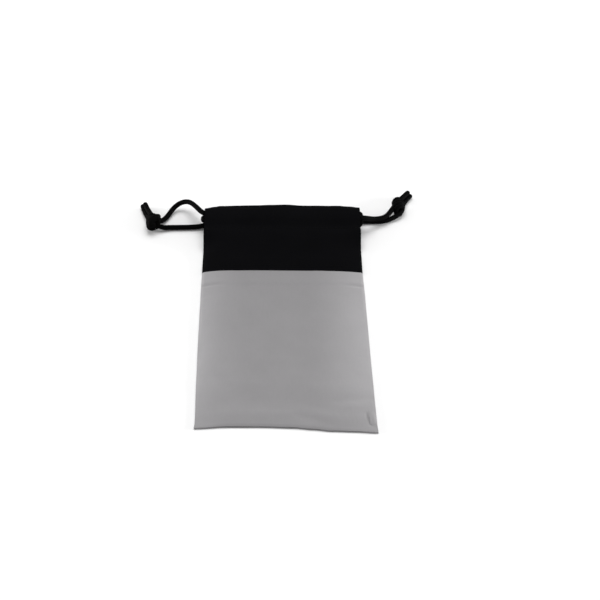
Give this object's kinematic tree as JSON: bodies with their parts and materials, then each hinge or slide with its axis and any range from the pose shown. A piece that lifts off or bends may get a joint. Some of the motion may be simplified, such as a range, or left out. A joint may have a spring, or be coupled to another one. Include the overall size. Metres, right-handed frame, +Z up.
{
  "type": "soft pouch glasses case",
  "caption": "Flat soft cloth drawstring pouch for spectacles: pale grey body, black mouth band, braided drawcords that leave each side of the hem and end in knots.",
  "frame": {"origin": "middle of the underside of the back panel, on the surface the pouch lies on", "axes": "+X across the pouch to its right-hand cord, +Y along it from the closed end to the mouth, +Z up out of the back panel"},
  "size_m": [0.1628, 0.2056, 0.0124],
  "materials": {
    "grey_cloth": "matt brushed microfibre",
    "black_cloth": "matt brushed microfibre",
    "facing_cloth": "matt brushed microfibre",
    "seam_edges": "cut cloth edges",
    "grey_thread": "spun sewing thread",
    "black_thread": "spun sewing thread",
    "drawcord": "round braid"
  },
  "bodies": {
    "pouch": {"back_body_panel": "grey_cloth", "front_body_panel": "grey_cloth", "back_top_band": "black_cloth", "front_top_band": "black_cloth", "back_facing": "facing_cloth", "front_facing": "facing_cloth", "back_hem": "black_cloth", "left_side_seam": "seam_edges", "right_side_seam": "seam_edges", "bottom_seam": "seam_edges", "left_seam_stitching": "grey_thread", "right_seam_stitching": "grey_thread", "bottom_seam_stitching": "grey_thread", "back_band_stitching": "black_thread", "front_band_stitching": "black_thread", "back_hem_stitching": "black_thread", "left_bar_tack": "black_thread", "right_bar_tack": "black_thread"},
    "front_flap": {"front_hem": "black_cloth", "front_hem_stitching": "black_thread"},
    "left_cord": {"left_cord_back_run": "drawcord", "left_cord_bight": "drawcord", "left_strand_front": "drawcord", "left_strand_back": "drawcord", "left_knot": "drawcord", "left_tail_long": "drawcord", "left_tail_short": "drawcord"},
    "left_front_run": {"left_cord_front_run": "drawcord"},
    "right_cord": {"right_cord_back_run": "drawcord", "right_cord_bight": "drawcord", "right_strand_front": "drawcord", "right_strand_back": "drawcord", "right_knot": "drawcord", "right_tail_long": "drawcord", "right_tail_short": "drawcord"},
    "right_front_run": {"right_cord_front_run": "drawcord"}
  },
  "joints": [
    {"name": "left_pull", "type": "slide", "parent": "pouch", "child": "left_cord", "axis": [-1, 0, 0], "range_m": [0, 0.03], "deforming": ["back_hem", "front_hem", "back_top_band", "front_top_band", "back_facing", "front_facing", "back_hem_stitching", "front_hem_stitching", "back_band_stitching", "front_band_stitching", "left_bar_tack", "right_bar_tack"]},
    {"name": "right_pull", "type": "slide", "parent": "pouch", "child": "right_cord", "axis": [1, 0, 0], "range_m": [0, 0.03]},
    {"name": "mouth_open", "type": "hinge", "parent": "pouch", "child": "front_flap", "pos_m": [0, 0.068, 0.0093], "axis": [-1, 0, 0], "range_deg": [-40, 0]},
    {"name": "left_run_lift", "type": "hinge", "parent": "left_cord", "child": "left_front_run", "pos_m": [0, 0.068, 0.0093], "axis": [-1, 0, 0], "range_deg": [-40, 0]},
    {"name": "right_run_lift", "type": "hinge", "parent": "right_cord", "child": "right_front_run", "pos_m": [0, 0.068, 0.0093], "axis": [-1, 0, 0], "range_deg": [-40, 0]}
  ],
  "couplings": [
    {"joint": "right_pull", "follows": "left_pull", "ratio": 1},
    {"joint": "left_run_lift", "follows": "mouth_open", "ratio": 1},
    {"joint": "right_run_lift", "follows": "mouth_open", "ratio": 1}
  ]
}
